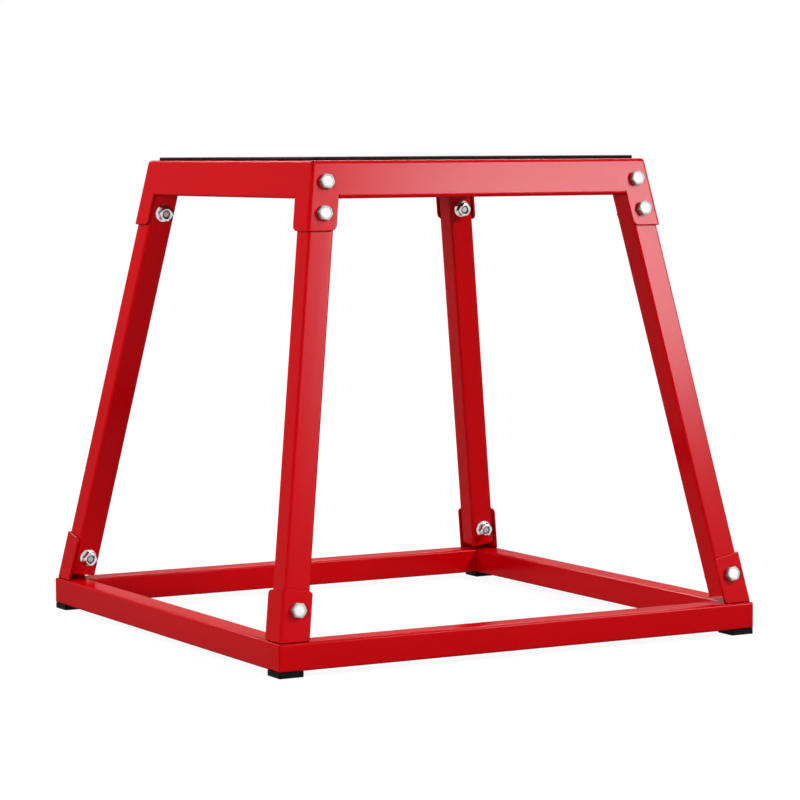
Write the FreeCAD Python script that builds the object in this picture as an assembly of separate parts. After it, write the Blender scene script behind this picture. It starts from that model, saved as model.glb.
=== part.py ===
import FreeCAD, Part
import math
import os

# Plyometric jump box: a folded steel tray on four splayed legs of square tube, bolted to a
# welded square base. Millimetres, +Z up, the floor at zero and the origin under the centre.

Vector = FreeCAD.Vector

# Whole box
overall_height = 457.2
tray_side = 357.0
base_side = 508.0

# Folded sheet of the tray and of the base brackets
sheet = 2.5
lug_margin = 2.0

# Top tray
skirt_depth = 34.6
tray_lug_depth = 63.4
tray_lug_radius = 5.5
lip_width = 11.0
relief_width = 1.5
relief_rise = 0.3
corner_relief_diameter = 2.6

# Anti-slip mat
mat_thickness = 3.0
mat_inset = 7.5
mat_corner_radius = 4.5
mat_edge_chamfer = 0.6

# Square tube of the legs and of the base
tube = 25.4
tube_wall = 1.6
tube_inner_radius = 0.8
fold_clearance = 1.8
leg_head_clearance = 0.5
leg_foot_gap = 3.0
base_corner_radius = 2.5

# Base brackets
bracket_height = 48.5
bracket_inset = 1.8
bracket_radius = 4.0

# Feet
foot_height = 5.4
foot_inset = 0.4
foot_corner_radius = 1.5
foot_edge_chamfer = 0.8

# Hex bolts and flange nuts
bolt_diameter = 7.9
bolt_end_depth = 0.9
hex_across_flats = 12.7
hex_face_share = 0.9
hex_chamfer_angle = 30.0
head_height = 5.2
nut_height = 8.5
nut_flange_diameter = 17.2
nut_flange_rim = 1.4
nut_flange_angle = 20.0
hole_clearance = 1.0
thread_clearance = 0.2

# Places of the bolts: below the tray's top, above the lugs' feet and above the base's top
upper_bolt_drop = 19.6
middle_bolt_rise = 15.5
lower_bolt_rise = 27.5

# Overrun of every cut, and the distance at which two places count as one
overrun = 5.0
touch = 0.001

# Heights
tray_top = overall_height - mat_thickness
skirt_foot = tray_top - skirt_depth
tray_lug_foot = tray_top - tray_lug_depth
base_top = foot_height + tube
bracket_top = base_top + bracket_height
bolt_heights = {
    "upper": tray_top - upper_bolt_drop,
    "middle": tray_lug_foot + middle_bolt_rise,
    "lower": base_top + lower_bolt_rise,
}
tray_bolts = ("upper", "middle")
bracket_bolt = "lower"

# The four walls lean so that they run from the tray's edge to the foot of the brackets
lean = (base_side / 2 - bracket_inset - tray_side / 2) / (tray_top - base_top)
lean_angle = math.atan(lean)

# The lugs reach past the tube, and the folds are tight enough to clear its rounded corner
lug_width = sheet + tube + lug_margin
tube_radius = tube_wall + tube_inner_radius
bend_radius = tube_radius - fold_clearance
fold_radius = bend_radius + sheet

# The lip's bend takes up this much of the skirt, and the relief notches rise a little higher
lip_bend = fold_radius / math.tan(math.pi / 4 - lean_angle / 2) * math.cos(lean_angle)
lip_top = skirt_foot + lip_bend + relief_rise

# A bolt passes through the sheet and the tube and ends a little below the nut's face
bolt_length = sheet + tube + nut_height - bolt_end_depth

# Half the width of the hexagons across their corners
hex_corner = hex_across_flats / 2 / math.cos(math.pi / 6)

# Directions at the front left corner: through the front wall, up the leg, and along the wall
inward = Vector(0, math.cos(lean_angle), -math.sin(lean_angle))
upward = Vector(lean, lean, 1).normalize()
along = inward.cross(upward)

origin = Vector(0, 0, 0)
x_axis = Vector(1, 0, 0)
y_axis = Vector(0, 1, 0)
z_axis = Vector(0, 0, 1)

# A corner's name, and whether it is the front left corner mirrored in X and in Y
corners = {
    "front_left": (False, False),
    "front_right": (True, False),
    "rear_left": (False, True),
    "rear_right": (True, True),
}
# A side's name, and the turn that brings the front side there
quarter_turn = 90
sides = {side: turn * quarter_turn for turn, side in enumerate(("front", "right", "rear", "left"))}


def at_corner(shape, mirrored_x, mirrored_y):
    """Mirror a shape of the front left corner to another corner."""
    if mirrored_x:
        shape = shape.mirror(origin, x_axis)
    if mirrored_y:
        shape = shape.mirror(origin, y_axis)
    return shape


def at_side(shape, turn):
    """Turn a shape of the front side to another side."""
    moved = shape.copy()
    moved.rotate(origin, z_axis, turn)
    return moved


def placed(shape, place, right, out):
    """Put a shape's origin at a place, with its X along right and its Z along out."""
    rotation = FreeCAD.Rotation(right, out.cross(right), out, "ZXY")
    shape.Placement = FreeCAD.Placement(place, rotation)
    return shape


def prism(points, sweep):
    """Solid swept from a flat outline of points."""
    return Part.Face(Part.makePolygon(points + points[:1])).extrude(sweep)


def turned(points):
    """Solid of revolution about Z from an outline of (radius, height) points."""
    outline = [Vector(radius, 0, height) for radius, height in points]
    return Part.Face(Part.makePolygon(outline + outline[:1])).revolve(origin, z_axis, 360)


def rising_edges(shape):
    """Edges that climb from one height to another."""
    return [edge for edge in shape.Edges if edge.BoundBox.ZLength > touch]


def edges_at(shape, height):
    """Edges that lie flat at one height."""
    return [edge for edge in shape.Edges
            if max(abs(edge.BoundBox.ZMin - height), abs(edge.BoundBox.ZMax - height)) < touch]


def wall_half(height, depth=0):
    """Half the width between the leaning walls at a height, at a depth below their outer faces."""
    return tray_side / 2 + (tray_top - height) * lean - depth / math.cos(lean_angle)


def splayed_block(low, high, depth):
    """Solid between two heights, bounded by the leaning walls at a depth below their outer faces."""
    foot = wall_half(low, depth)
    head = wall_half(high, depth)
    block = Part.makeWedge(-foot, low, -foot, -head, -head, foot, high, foot, head, head)
    block.rotate(origin, x_axis, quarter_turn)
    return block


def between_lugs(low, high):
    """The stretches of all four walls between the corner lugs, as one cutter."""
    low_half = wall_half(low) - lug_width
    high_half = wall_half(high) - lug_width
    points = [Vector(-low_half, -base_side, low), Vector(low_half, -base_side, low),
              Vector(high_half, -base_side, high), Vector(-high_half, -base_side, high)]
    across = prism(points, Vector(0, 2 * base_side, 0))
    return across.fuse(at_side(across, sides["right"]))


def round_free_corners(shape, place, out, radius):
    """Round the lugs' free corners: the short straight edges through the sheet on a cut face."""
    flat = [edge for edge in shape.Edges
            if all(abs((vertex.Point - place).dot(out)) < touch for vertex in edge.Vertexes)]
    short = [edge for edge in flat
             if edge.Curve.TypeId == "Part::GeomLine" and edge.Length < 2 * sheet]
    return shape.makeFillet(radius, short)


def bolt_seat(height):
    """Where a bolt's axis, in the middle of the front left leg, meets the wall's inner face."""
    half = wall_half(height, sheet)
    seat = Vector(-half, -half, height) + along * (tube / 2)
    return seat + upward * ((height - seat.z) / upward.z)


def bolt_hole(height):
    """Cutter for the hole through the front left wall and leg at a height."""
    start = bolt_seat(height) - inward * (sheet + overrun)
    length = sheet + tube + 2 * overrun
    return Part.makeCylinder((bolt_diameter + hole_clearance) / 2, length, start, inward)


def tray_lip():
    """Folded-in lip along the foot of the front skirt, with its bend."""
    inner_foot = skirt_foot + sheet
    lip_edge = -wall_half(skirt_foot) + lip_width
    half_length = wall_half(lip_top) - lug_width - relief_width
    outline = [(-wall_half(lip_top), lip_top), (-wall_half(skirt_foot), skirt_foot),
               (lip_edge, skirt_foot), (lip_edge, inner_foot),
               (-wall_half(inner_foot, sheet), inner_foot), (-wall_half(lip_top, sheet), lip_top)]
    points = [Vector(-half_length, y, z) for y, z in outline]
    lip = prism(points, Vector(2 * half_length, 0, 0))
    for (y, z), radius in ((outline[1], fold_radius), (outline[4], bend_radius)):
        fold = [edge for edge in lip.Edges
                if edge.CenterOfMass.distanceToPoint(Vector(0, y, z)) < touch]
        lip = lip.makeFillet(radius, fold)
    return lip


def top_tray():
    """The folded tray: plate, leaning skirts, corner lugs, lips, relief notches and bolt holes."""
    outer = splayed_block(tray_lug_foot, tray_top, 0)
    outer = outer.makeFillet(fold_radius, rising_edges(outer) + edges_at(outer, tray_top))
    inner_top = tray_top - sheet
    inner = splayed_block(tray_lug_foot - overrun, inner_top, sheet)
    inner = inner.makeFillet(bend_radius, rising_edges(inner) + edges_at(inner, inner_top))
    tray = outer.cut(inner).cut(between_lugs(tray_lug_foot - overrun, lip_top))
    tray = round_free_corners(tray, Vector(0, 0, tray_lug_foot), z_axis, tray_lug_radius)
    lip = tray_lip()
    tray = tray.fuse([at_side(lip, turn) for turn in sides.values()]).removeSplitter()
    corner = Vector(-tray_side / 2, -tray_side / 2, tray_top)
    outwards = Vector(-1, -1, 1).normalize()
    relief = Part.makeCylinder(corner_relief_diameter / 2, 2 * (overrun + sheet),
                               corner - outwards * (overrun + sheet), outwards)
    cutters = [relief] + [bolt_hole(bolt_heights[name]) for name in tray_bolts]
    for mirrors in corners.values():
        tray = tray.cut([at_corner(cutter, *mirrors) for cutter in cutters])
    return tray


def top_mat():
    """Thin rubber sheet bonded to the tray, with rounded corners and an eased upper edge."""
    side = tray_side - 2 * mat_inset
    mat = Part.makeBox(side, side, mat_thickness, Vector(-side / 2, -side / 2, tray_top))
    mat = mat.makeFillet(mat_corner_radius, rising_edges(mat))
    return mat.makeChamfer(mat_edge_chamfer, edges_at(mat, overall_height))


def square_tube(length):
    """Square tube along Z with one outer corner on the origin."""
    outer = Part.makeBox(tube, tube, length)
    outer = outer.makeFillet(tube_radius, rising_edges(outer))
    bore_side = tube - 2 * tube_wall
    bore = Part.makeBox(bore_side, bore_side, length + 2 * overrun,
                        Vector(tube_wall, tube_wall, -overrun))
    return outer.cut(bore.makeFillet(tube_inner_radius, rising_edges(bore)))


def leg():
    """Front left leg, cut square at both ends and drilled for its bolts."""
    head = tray_top - sheet - bend_radius - leg_head_clearance
    foot = base_top + leg_foot_gap
    length = (head - foot + tube * (along.z + inward.z)) / upward.z
    half = wall_half(head, sheet)
    place = Vector(-half, -half, head) - upward * length
    post = placed(square_tube(length), place, along, upward)
    return post.cut([bolt_hole(height) for height in bolt_heights.values()])


def rail():
    """Front rail of the base, mitred at both ends, its outer corners ground round."""
    half = base_side / 2
    bar = placed(square_tube(base_side), Vector(-half, -half, foot_height), y_axis, x_axis)
    wedge = prism([Vector(0, 0, foot_height), Vector(-base_side, -base_side, foot_height),
                   Vector(base_side, -base_side, foot_height)], Vector(0, 0, tube))
    centre = base_corner_radius - half
    round_end = Part.makeCylinder(base_corner_radius, tube, Vector(centre, centre, foot_height))
    square_end = Part.makeBox(base_corner_radius, base_corner_radius, tube,
                              Vector(-half, -half, foot_height))
    waste = square_end.cut(round_end)
    return bar.common(wedge).cut([waste, waste.mirror(origin, x_axis)])


def bracket():
    """Bent angle on the front left corner of the base, its top cut square to the leg."""
    blank_top = bracket_top + overrun
    outer = splayed_block(base_top, blank_top, 0)
    outer = outer.makeFillet(fold_radius, rising_edges(outer))
    inner = splayed_block(base_top - overrun, blank_top + overrun, sheet)
    inner = inner.makeFillet(bend_radius, rising_edges(inner))
    ring = outer.cut(inner).cut(between_lugs(base_top - overrun, blank_top + overrun))
    angle = [solid for solid in ring.Solids
             if solid.CenterOfMass.x < 0 and solid.CenterOfMass.y < 0][0]
    half = wall_half(bracket_top)
    corner = Vector(-half, -half, bracket_top)
    waste = Part.makeBox(base_side, base_side, bracket_height,
                         Vector(-base_side / 2, -base_side / 2, 0))
    angle = angle.cut(placed(waste, corner, along, upward))
    angle = round_free_corners(angle, corner, upward, bracket_radius)
    return angle.cut(bolt_hole(bolt_heights[bracket_bolt]))


def hexagon(height):
    """Hexagonal block along Z from zero."""
    turns = [turn * math.pi / 3 for turn in range(6)]
    points = [Vector(hex_corner * math.cos(turn), hex_corner * math.sin(turn), 0) for turn in turns]
    return prism(points, Vector(0, 0, height))


def bolt():
    """Hex bolt with its seat at the origin, its chamfered head along +Z and its shank along -Z."""
    face = hex_across_flats / 2 * hex_face_share
    drop = (hex_corner - face) * math.tan(math.radians(hex_chamfer_angle))
    blank = turned([(0, 0), (hex_corner, 0), (hex_corner, head_height - drop),
                    (face, head_height), (0, head_height)])
    shank = Part.makeCylinder(bolt_diameter / 2, bolt_length, Vector(0, 0, -bolt_length))
    return hexagon(head_height).common(blank).fuse(shank).removeSplitter()


def nut():
    """Hex flange nut with its seat at the origin, standing along +Z."""
    rim = nut_flange_diameter / 2
    hub = (rim + hex_corner) / 2
    flange_top = nut_flange_rim + (rim - hub) * math.tan(math.radians(nut_flange_angle))
    flange = turned([(0, 0), (rim, 0), (rim, nut_flange_rim), (hub, flange_top), (0, flange_top)])
    bore = Part.makeCylinder((bolt_diameter + thread_clearance) / 2, nut_height)
    return hexagon(nut_height).fuse(flange).cut(bore).removeSplitter()


def foot():
    """Rubber pad under the front left corner of the base."""
    side = tube - 2 * foot_inset
    place = Vector(foot_inset - base_side / 2, foot_inset - base_side / 2, 0)
    pad = Part.makeBox(side, side, foot_height, place)
    pad = pad.makeFillet(foot_corner_radius, rising_edges(pad))
    return pad.makeChamfer(foot_edge_chamfer, edges_at(pad, 0))


def corner_pieces():
    """Every piece that stands once at each corner, made for the front left corner, by its name."""
    pieces = {"leg": leg(), "bracket": bracket(), "foot": foot()}
    for name, height in bolt_heights.items():
        seat = bolt_seat(height)
        pieces[name + "_bolt"] = placed(bolt(), seat - inward * sheet, along, -inward)
        pieces[name + "_nut"] = placed(nut(), seat + inward * tube, along, inward)
    return pieces


def all_pieces():
    """The whole box: a shape for each named piece."""
    pieces = {"top_tray": top_tray(), "top_mat": top_mat()}
    front_rail = rail()
    for side, turn in sides.items():
        pieces[side + "_rail"] = at_side(front_rail, turn)
    for piece, shape in corner_pieces().items():
        for corner, mirrors in corners.items():
            pieces[corner + "_" + piece] = at_corner(shape, *mirrors)
    return pieces


os.makedirs("parts", exist_ok=True)
for node, shape in all_pieces().items():
    shape.exportStep("parts/" + node + ".step")
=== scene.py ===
"""Looks of an open steel plyo box: folded tray, splayed tube legs, mitred base, hex fasteners, rubber."""
import logging
import math
from dataclasses import dataclass
from enum import Enum
from typing import Callable, Iterable

import bmesh
import bpy
from bmesh.types import BMEdge, BMesh, BMFace, BMVert
from mathutils import Matrix, Vector


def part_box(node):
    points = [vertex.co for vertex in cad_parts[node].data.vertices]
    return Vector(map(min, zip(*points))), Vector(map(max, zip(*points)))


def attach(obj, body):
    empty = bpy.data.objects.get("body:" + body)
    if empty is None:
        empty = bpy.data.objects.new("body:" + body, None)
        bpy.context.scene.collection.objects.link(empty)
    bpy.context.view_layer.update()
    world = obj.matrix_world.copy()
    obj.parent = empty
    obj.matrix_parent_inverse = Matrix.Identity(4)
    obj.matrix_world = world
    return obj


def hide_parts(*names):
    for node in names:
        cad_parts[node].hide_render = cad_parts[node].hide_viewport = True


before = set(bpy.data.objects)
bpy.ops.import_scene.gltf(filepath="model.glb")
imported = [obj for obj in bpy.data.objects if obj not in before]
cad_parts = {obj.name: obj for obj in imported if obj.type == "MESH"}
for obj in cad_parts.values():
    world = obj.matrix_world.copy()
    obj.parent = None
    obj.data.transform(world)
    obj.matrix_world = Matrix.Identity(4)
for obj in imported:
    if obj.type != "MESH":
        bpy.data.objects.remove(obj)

LOG = logging.getLogger("plyo_box")
BODY = "root"
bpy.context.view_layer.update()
TOUCH = 1e-6
SAME_FACING = 0.999
EASED_ANGLE = math.radians(40)
ROUND_PROFILE = 0.5
NO_MATERIAL = -1
# Places of the colour sockets on Blender's Mix node, whose names repeat.
MIX_COLOUR_A, MIX_COLOUR_B, MIX_COLOUR_RESULT = 6, 7, 2
WHITE = (1, 1, 1, 1)
AXIS_X = Vector((1, 0, 0))
AXIS_Z = Vector((0, 0, 1))
Outline = Callable[[float], tuple[float, float]]


class Corner(Enum):
    """Corners of the box, as the signs that mirror the front left corner in X and in Y."""

    FRONT_LEFT = (1, 1)
    FRONT_RIGHT = (-1, 1)
    REAR_LEFT = (1, -1)
    REAR_RIGHT = (-1, -1)

    @property
    def label(self) -> str:
        """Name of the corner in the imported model."""
        return self.name.lower()

    def mirror(self) -> Matrix:
        """Matrix that carries the front left corner here."""
        return Matrix.Diagonal((*self.value, 1, 1))


class Side(Enum):
    """Sides of the box, as quarter turns from the front."""

    FRONT = 0
    RIGHT = 1
    REAR = 2
    LEFT = 3

    @property
    def label(self) -> str:
        """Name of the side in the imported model."""
        return self.name.lower()

    def turn(self) -> Matrix:
        """Matrix that carries the front side here."""
        return Matrix.Rotation(self.value * math.pi / 2, 4, "Z")


class BoltPlace(Enum):
    """Places of the bolts on a leg."""

    UPPER = "upper"
    MIDDLE = "middle"
    LOWER = "lower"


class Glow(Enum):
    """What a softbox does for the box."""

    LIGHT = "lights its surfaces"
    SHINE = "shows in its gloss"


@dataclass(frozen=True)
class Layout:
    """Sizes that several pieces share, in metres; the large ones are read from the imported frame."""

    base_half: float
    tube: float
    base_foot: float
    base_top: float
    tray_top: float
    lug_foot: float
    lug_foot_half: float
    lean: float
    sheet: float = 0.0025
    fold_radius: float = 0.0031
    tube_wall: float = 0.0016
    tube_radius: float = 0.0024
    tube_steps: int = 5
    lug_margin: float = 0.002
    leg_head_drop: float = 0.0036
    leg_foot_gap: float = 0.003
    upper_bolt_drop: float = 0.0196
    middle_bolt_rise: float = 0.0155
    lower_bolt_rise: float = 0.0275
    hole_radius: float = 0.00445
    hole_steps: int = 32
    overrun: float = 0.0025

    @classmethod
    def read(cls) -> "Layout":
        """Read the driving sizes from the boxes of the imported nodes.

        Returns:
            The layout of the box.
        """
        rail_low, rail_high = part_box("front_rail")
        tray_low, tray_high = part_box("top_tray")
        bracket_low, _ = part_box("front_left_bracket")
        return cls(
            base_half=-rail_low.y,
            tube=rail_high.z - rail_low.z,
            base_foot=rail_low.z,
            base_top=rail_high.z,
            tray_top=tray_high.z,
            lug_foot=tray_low.z,
            lug_foot_half=tray_high.x,
            lean=(-bracket_low.x - tray_high.x) / (tray_low.z - bracket_low.z),
        )

    @property
    def lean_angle(self) -> float:
        """Angle of the four walls from upright."""
        return math.atan(self.lean)

    @property
    def lug_width(self) -> float:
        """Width of the sheet on each side of a corner fold."""
        return self.sheet + self.tube + self.lug_margin

    @property
    def inward(self) -> Vector:
        """Direction through the front wall."""
        return Vector((0, math.cos(self.lean_angle), -math.sin(self.lean_angle)))

    @property
    def upward(self) -> Vector:
        """Direction up the front left leg."""
        return Vector((self.lean, self.lean, 1)).normalized()

    @property
    def along(self) -> Vector:
        """Direction across the front face of the front left leg."""
        return self.inward.cross(self.upward)

    def wall_half(self, height: float, depth: float = 0.0) -> float:
        """Half the width between opposite walls.

        Args:
            height: Height above the floor.
            depth: Depth below the walls' outer faces.

        Returns:
            The half width in metres.
        """
        return self.lug_foot_half + (self.lug_foot - height) * self.lean - depth / math.cos(self.lean_angle)

    def bolt_height(self, place: BoltPlace) -> float:
        """Height at which a bolt's axis meets the wall's inner face.

        Args:
            place: Which of the leg's bolts.

        Returns:
            The height above the floor.
        """
        heights = {
            BoltPlace.UPPER: self.tray_top - self.upper_bolt_drop,
            BoltPlace.MIDDLE: self.lug_foot + self.middle_bolt_rise,
            BoltPlace.LOWER: self.base_top + self.lower_bolt_rise,
        }
        return heights[place]

    def bolt_seat(self, place: BoltPlace) -> Vector:
        """Point where a bolt's axis meets the inner face of the front left wall.

        Args:
            place: Which of the leg's bolts.

        Returns:
            The point, in the middle of the leg's width.
        """
        height = self.bolt_height(place)
        half = self.wall_half(height, self.sheet)
        seat = Vector((-half, -half, height)) + self.along * (self.tube / 2)
        return seat + self.upward * ((height - seat.z) / self.upward.z)

    def add_drills(self, bm: BMesh, corner: Corner, places: Iterable[BoltPlace], depth: float) -> None:
        """Add the cutters for a corner's bolt holes.

        Args:
            bm: The bmesh that receives them.
            corner: The corner.
            places: The bolts whose holes are cut.
            depth: How far the holes reach behind the wall's inner face.
        """
        mirror = corner.mirror()
        lead = self.sheet + self.overrun
        for place in places:
            start = mirror @ (self.bolt_seat(place) - self.inward * lead)
            add_rod(bm, start, mirror.to_3x3() @ self.inward, lead + depth, self.hole_radius, self.hole_steps)


class NodeTree:
    """Small helper that adds and links nodes of one tree."""

    def __init__(self, tree: bpy.types.NodeTree) -> None:
        """Keep the tree that the nodes go into."""
        self.tree = tree

    def add(self, kind: str, values: dict | None = None, **settings: object) -> bpy.types.Node:
        """Add a node.

        Args:
            kind: Blender's identifier of the node.
            values: Constants or output sockets for the node's inputs, by name or number.
            settings: Properties of the node itself.

        Returns:
            The new node.
        """
        made = self.tree.nodes.new(kind)
        for name, value in settings.items():
            setattr(made, name, value)
        for name, value in (values or {}).items():
            if isinstance(value, bpy.types.NodeSocket):
                self.tree.links.new(value, made.inputs[name])
            else:
                made.inputs[name].default_value = value
        return made


class EffectGroups:
    """Shader node groups that several finishes share."""

    GRAIN = "surface_grain"
    DRIFT = "tone_drift"
    MASK_LOW, MASK_HIGH = 0.35, 0.65
    TONE_LOW, TONE_HIGH = 0.3, 0.7

    @classmethod
    def grain(cls) -> bpy.types.NodeTree:
        """Uneven relief at two scales.

        Returns:
            The group, with outputs Height and Mask.
        """
        if cls.GRAIN in bpy.data.node_groups:
            return bpy.data.node_groups[cls.GRAIN]
        group = bpy.data.node_groups.new(cls.GRAIN, "ShaderNodeTree")
        for name, kind in (("Vector", "NodeSocketVector"), ("Wave Scale", "NodeSocketFloat"),
                           ("Grain Scale", "NodeSocketFloat"), ("Grain Share", "NodeSocketFloat")):
            group.interface.new_socket(name, in_out="INPUT", socket_type=kind)
        for name in ("Height", "Mask"):
            group.interface.new_socket(name, in_out="OUTPUT", socket_type="NodeSocketFloat")
        nodes = NodeTree(group)
        given = nodes.add("NodeGroupInput").outputs
        wave = nodes.add("ShaderNodeTexNoise", {"Vector": given["Vector"], "Scale": given["Wave Scale"],
                                                "Detail": 2.0, "Roughness": 0.4})
        fine = nodes.add("ShaderNodeTexNoise", {"Vector": given["Vector"], "Scale": given["Grain Scale"],
                                                "Detail": 3.0, "Roughness": 0.6})
        height = nodes.add("ShaderNodeMix", {"Factor": given["Grain Share"], "A": wave.outputs["Fac"],
                                             "B": fine.outputs["Fac"]})
        mask = nodes.add("ShaderNodeMapRange", {"Value": wave.outputs["Fac"], "From Min": cls.MASK_LOW,
                                                "From Max": cls.MASK_HIGH})
        nodes.add("NodeGroupOutput", {"Height": height.outputs["Result"], "Mask": mask.outputs["Result"]})
        return group

    @classmethod
    def drift(cls) -> bpy.types.NodeTree:
        """Slow change of tone over a surface.

        Returns:
            The group, with output Color.
        """
        if cls.DRIFT in bpy.data.node_groups:
            return bpy.data.node_groups[cls.DRIFT]
        group = bpy.data.node_groups.new(cls.DRIFT, "ShaderNodeTree")
        for name, kind in (("Vector", "NodeSocketVector"), ("Light", "NodeSocketColor"),
                           ("Dark", "NodeSocketColor"), ("Scale", "NodeSocketFloat")):
            group.interface.new_socket(name, in_out="INPUT", socket_type=kind)
        group.interface.new_socket("Color", in_out="OUTPUT", socket_type="NodeSocketColor")
        nodes = NodeTree(group)
        given = nodes.add("NodeGroupInput").outputs
        cloud = nodes.add("ShaderNodeTexNoise", {"Vector": given["Vector"], "Scale": given["Scale"],
                                                 "Detail": 4.0, "Roughness": 0.55})
        even = nodes.add("ShaderNodeMapRange", {"Value": cloud.outputs["Fac"], "From Min": cls.TONE_LOW,
                                                "From Max": cls.TONE_HIGH})
        mix = nodes.add("ShaderNodeMix", {"Factor": even.outputs["Result"], MIX_COLOUR_A: given["Dark"],
                                          MIX_COLOUR_B: given["Light"]}, data_type="RGBA")
        nodes.add("NodeGroupOutput", {"Color": mix.outputs[MIX_COLOUR_RESULT]})
        return group


@dataclass(frozen=True)
class Finish:
    """One surface finish: its colours, gloss, relief and painted crevice shade, and the name of the record's
    slot that it is for.
    """

    name: str
    slot: str
    light: tuple[float, float, float]
    dark: tuple[float, float, float]
    tone_scale: float
    roughness: tuple[float, float]
    specular: float
    metallic: float
    wave_scale: float
    grain_scale: float
    grain_share: float
    relief: float
    relief_strength: float
    gloss_coat: tuple[float, float] = (0.0, 0.0)
    coat_roughness: float = 0.2
    coat_ior: float = 1.5
    grazing_span: tuple[float, float] = (0.6, 0.78)
    grazing_share: float = 0.3
    # Painted shade: ambient occlusion within the reach below darkens the base colour in crevices, under bolt
    # heads and between touching parts, down to the given shade.
    crevice_span: tuple[float, float] = (0.2, 0.7)
    painted_crevice_shade: float = 0.25
    crevice_reach: float = 0.006

    def material(self) -> bpy.types.Material:
        """Build the finish's material once.

        Returns:
            The material.
        """
        if self.name in bpy.data.materials:
            return bpy.data.materials[self.name]
        made = bpy.data.materials.new(self.name)
        made.use_nodes = True
        made.node_tree.nodes.clear()
        nodes = NodeTree(made.node_tree)
        place = nodes.add("ShaderNodeTexCoord").outputs["Object"]
        grain = nodes.add("ShaderNodeGroup", node_tree=EffectGroups.grain())
        drift = nodes.add("ShaderNodeGroup", node_tree=EffectGroups.drift())
        for group, values in ((grain, {"Wave Scale": self.wave_scale, "Grain Scale": self.grain_scale,
                                       "Grain Share": self.grain_share}),
                              (drift, {"Light": (*self.light, 1), "Dark": (*self.dark, 1),
                                       "Scale": self.tone_scale})):
            made.node_tree.links.new(place, group.inputs["Vector"])
            for name, value in values.items():
                group.inputs[name].default_value = value
        low, high = self.roughness
        mask = grain.outputs["Mask"]
        gloss = nodes.add("ShaderNodeMapRange", {"Value": mask, "To Min": low, "To Max": high})
        bump = nodes.add("ShaderNodeBump", {"Height": grain.outputs["Height"], "Distance": self.relief,
                                            "Strength": self.relief_strength})
        # Painted shade: the base colour is multiplied darker where ambient occlusion finds nearby surfaces,
        # in crevices and between parts.
        open_share = nodes.add("ShaderNodeAmbientOcclusion", {"Distance": self.crevice_reach}).outputs["AO"]
        low, high = self.crevice_span
        shade = nodes.add("ShaderNodeMapRange", {"Value": open_share, "From Min": low, "From Max": high,
                                                 "To Min": self.painted_crevice_shade, "To Max": 1.0})
        colour = nodes.add("ShaderNodeMix", {"Factor": 1.0, MIX_COLOUR_A: drift.outputs["Color"],
                                             MIX_COLOUR_B: shade.outputs["Result"]},
                           data_type="RGBA", blend_type="MULTIPLY")
        shader = nodes.add("ShaderNodeBsdfPrincipled", {
            "Base Color": colour.outputs[MIX_COLOUR_RESULT], "Roughness": gloss.outputs["Result"],
            "Normal": bump.outputs["Normal"], "Metallic": self.metallic,
            "Specular IOR Level": self.specular, "Coat Roughness": self.coat_roughness,
            "Coat IOR": self.coat_ior})
        if any(self.gloss_coat):
            worn, full = self.gloss_coat
            coat = nodes.add("ShaderNodeMapRange", {"Value": mask, "To Min": full, "To Max": worn})
            slant = nodes.add("ShaderNodeLayerWeight", {"Blend": 0.5}).outputs["Facing"]
            low, high = self.grazing_span
            calm = nodes.add("ShaderNodeMapRange", {"Value": slant, "From Min": low, "From Max": high,
                                                    "To Min": 1.0, "To Max": self.grazing_share})
            weight = nodes.add("ShaderNodeMath", {0: coat.outputs["Result"], 1: calm.outputs["Result"]},
                               operation="MULTIPLY")
            made.node_tree.links.new(weight.outputs["Value"], shader.inputs["Coat Weight"])
        nodes.add("ShaderNodeOutputMaterial", {"Surface": shader.outputs["BSDF"]})
        return made


RED_COAT = Finish(
    name="red_gloss_coat", slot="red_powder_coat",
    light=(0.66, 0.0004, 0.0040), dark=(0.63, 0.0003, 0.0032), tone_scale=9.0,
    roughness=(0.35, 0.45), specular=0.0, metallic=0.0,
    wave_scale=420.0, grain_scale=1500.0, grain_share=0.35, relief=0.00006, relief_strength=0.35,
    gloss_coat=(0.115, 0.135), coat_roughness=0.18, coat_ior=1.5,
    # Deep painted shade in the crevices round legs, brackets, lugs and bolt heads.
    painted_crevice_shade=0.08, crevice_reach=0.008)
SATIN_ZINC = Finish(
    name="satin_zinc", slot="zinc_plate",
    light=(0.42, 0.425, 0.405), dark=(0.34, 0.345, 0.335), tone_scale=260.0,
    roughness=(0.52, 0.62), specular=0.5, metallic=1.0,
    wave_scale=500.0, grain_scale=2600.0, grain_share=0.5, relief=0.00004, relief_strength=0.3,
    # Painted shade in the bolts' own hollows, within 2 mm.
    crevice_reach=0.002)
BRIGHT_ZINC = Finish(
    name="bright_zinc", slot="zinc_plate",
    light=(0.66, 0.665, 0.67), dark=(0.54, 0.545, 0.56), tone_scale=260.0,
    roughness=(0.10, 0.20), specular=0.5, metallic=1.0,
    wave_scale=500.0, grain_scale=2600.0, grain_share=0.5, relief=0.00004, relief_strength=0.2,
    # Painted shade in the nuts' hollows and where they meet the wall.
    painted_crevice_shade=0.12, crevice_reach=0.004)
MAT_RUBBER = Finish(
    name="matte_rubber", slot="rubber_mat",
    light=(0.009, 0.009, 0.0095), dark=(0.004, 0.004, 0.0045), tone_scale=60.0,
    roughness=(0.70, 0.88), specular=0.12, metallic=0.0,
    wave_scale=380.0, grain_scale=1300.0, grain_share=0.6, relief=0.0006, relief_strength=0.8)
FOOT_RUBBER = Finish(
    name="moulded_rubber", slot="rubber_foot",
    light=(0.006, 0.0055, 0.0055), dark=(0.003, 0.003, 0.003), tone_scale=90.0,
    roughness=(0.60, 0.75), specular=0.06, metallic=0.0,
    wave_scale=300.0, grain_scale=1800.0, grain_share=0.6, relief=0.0002, relief_strength=0.5)


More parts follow.
